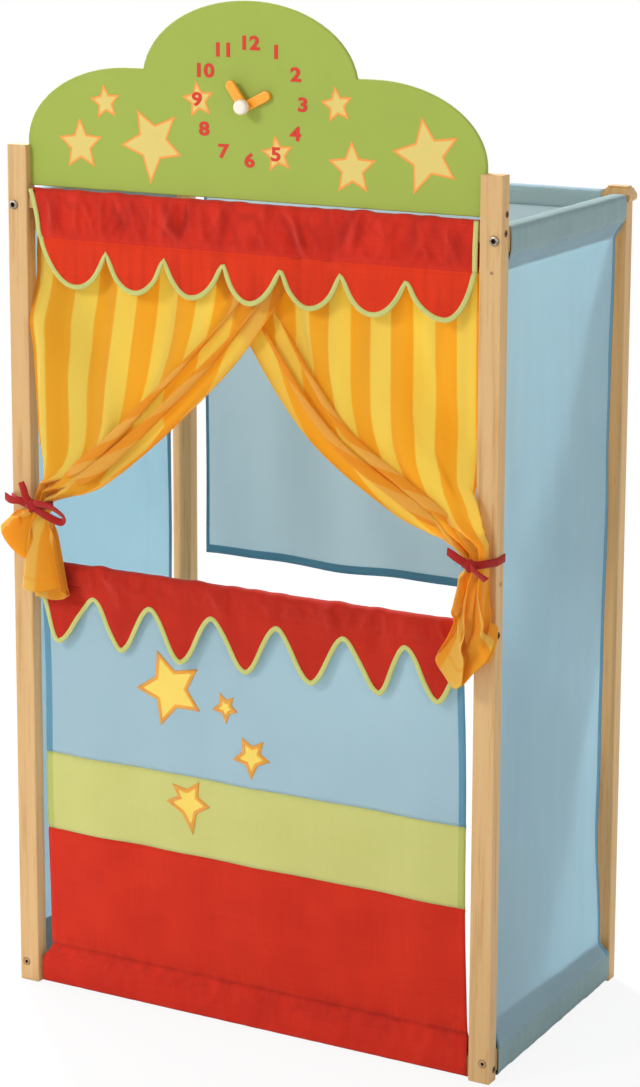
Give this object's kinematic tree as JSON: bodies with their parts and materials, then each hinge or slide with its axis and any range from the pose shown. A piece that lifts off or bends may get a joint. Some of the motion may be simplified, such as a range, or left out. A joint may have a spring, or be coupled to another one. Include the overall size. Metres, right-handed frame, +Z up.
{
  "type": "puppet theater stand",
  "caption": "Free-standing wooden puppet theater: cloth-hung frame with scalloped valance, tied stage curtains over a window, clock headboard with turning hands, and a swinging rear curtain.",
  "frame": {"origin": "on the floor, at the middle of the footprint with the curtain tails and bows", "axes": "+X to the right as seen from the front, +Y to the back, +Z up"},
  "size_m": [0.7231, 0.4557, 1.3495],
  "materials": {
    "beech": "clear satin lacquer over light straight-grained wood",
    "green_paint": "satin lime green paint with printed stars and clock numerals",
    "orange_paint": "glossy orange paint with rounded edges",
    "cream_plastic": "smooth cream cap",
    "steel": "zinc-plated button heads",
    "dark_steel": "dark bronzed heads",
    "red_cotton": "plain-woven red cotton",
    "green_tape": "folded lime binding tape",
    "striped_cotton": "light cotton with upright yellow and orange stripes",
    "red_ribbon": "flat dark red ribbon",
    "blue_cotton": "plain-woven pale blue cotton",
    "lime_cotton": "plain-woven lime cotton",
    "star_cotton": "yellow cotton patches sewn on with zigzag stitches"
  },
  "bodies": {
    "stand": {"front_right_post": "beech", "front_left_post": "beech", "rear_right_post": "beech", "rear_left_post": "beech", "rear_right_cap": "beech", "rear_left_cap": "beech", "right_top_rail": "beech", "left_top_rail": "beech", "right_bottom_rail": "beech", "left_bottom_rail": "beech", "valance_rail": "beech", "sill_rail": "beech", "foot_rail": "beech", "rear_rod": "beech", "front_right_top_bolt": "steel", "front_left_top_bolt": "steel", "rear_right_top_bolt": "steel", "rear_left_top_bolt": "steel", "front_right_bottom_bolt": "dark_steel", "front_left_bottom_bolt": "dark_steel", "rear_right_bottom_bolt": "steel", "rear_left_bottom_bolt": "steel", "right_valance_screw": "dark_steel", "left_valance_screw": "dark_steel", "right_sill_screw": "dark_steel", "left_sill_screw": "dark_steel", "right_foot_screw": "dark_steel", "left_foot_screw": "dark_steel", "right_headboard_screw": "dark_steel", "left_headboard_screw": "dark_steel", "headboard": "green_paint", "clock_pin": "cream_plastic", "clock_nut": "steel", "top_valance": "red_cotton", "top_valance_binding": "green_tape", "sill_valance": "red_cotton", "sill_valance_binding": "green_tape", "left_curtain": "striped_cotton", "right_curtain": "striped_cotton", "left_tie": "red_ribbon", "right_tie": "red_ribbon", "front_panel_blue": "blue_cotton", "front_panel_green": "lime_cotton", "front_panel_red": "red_cotton", "panel_star_1": "star_cotton", "panel_star_2": "star_cotton", "panel_star_3": "star_cotton", "panel_star_4": "star_cotton", "right_side_panel": "blue_cotton", "left_side_panel": "blue_cotton"},
    "hour_hand": {"hour_hand": "orange_paint"},
    "minute_hand": {"minute_hand": "orange_paint"},
    "rear_curtain": {"rear_curtain": "blue_cotton"}
  },
  "joints": [
    {"name": "hour_hand_turn", "type": "hinge", "parent": "stand", "child": "hour_hand", "pos_m": [0, -0.18197, 1.219], "axis": [0, 1, 0], "continuous": true},
    {"name": "minute_hand_turn", "type": "hinge", "parent": "stand", "child": "minute_hand", "pos_m": [0, -0.18827, 1.219], "axis": [0, 1, 0], "continuous": true},
    {"name": "rear_curtain_swing", "type": "hinge", "parent": "stand", "child": "rear_curtain", "pos_m": [0, 0.21183, 1.088], "axis": [1, 0, 0], "range_deg": [-30, 95]}
  ]
}
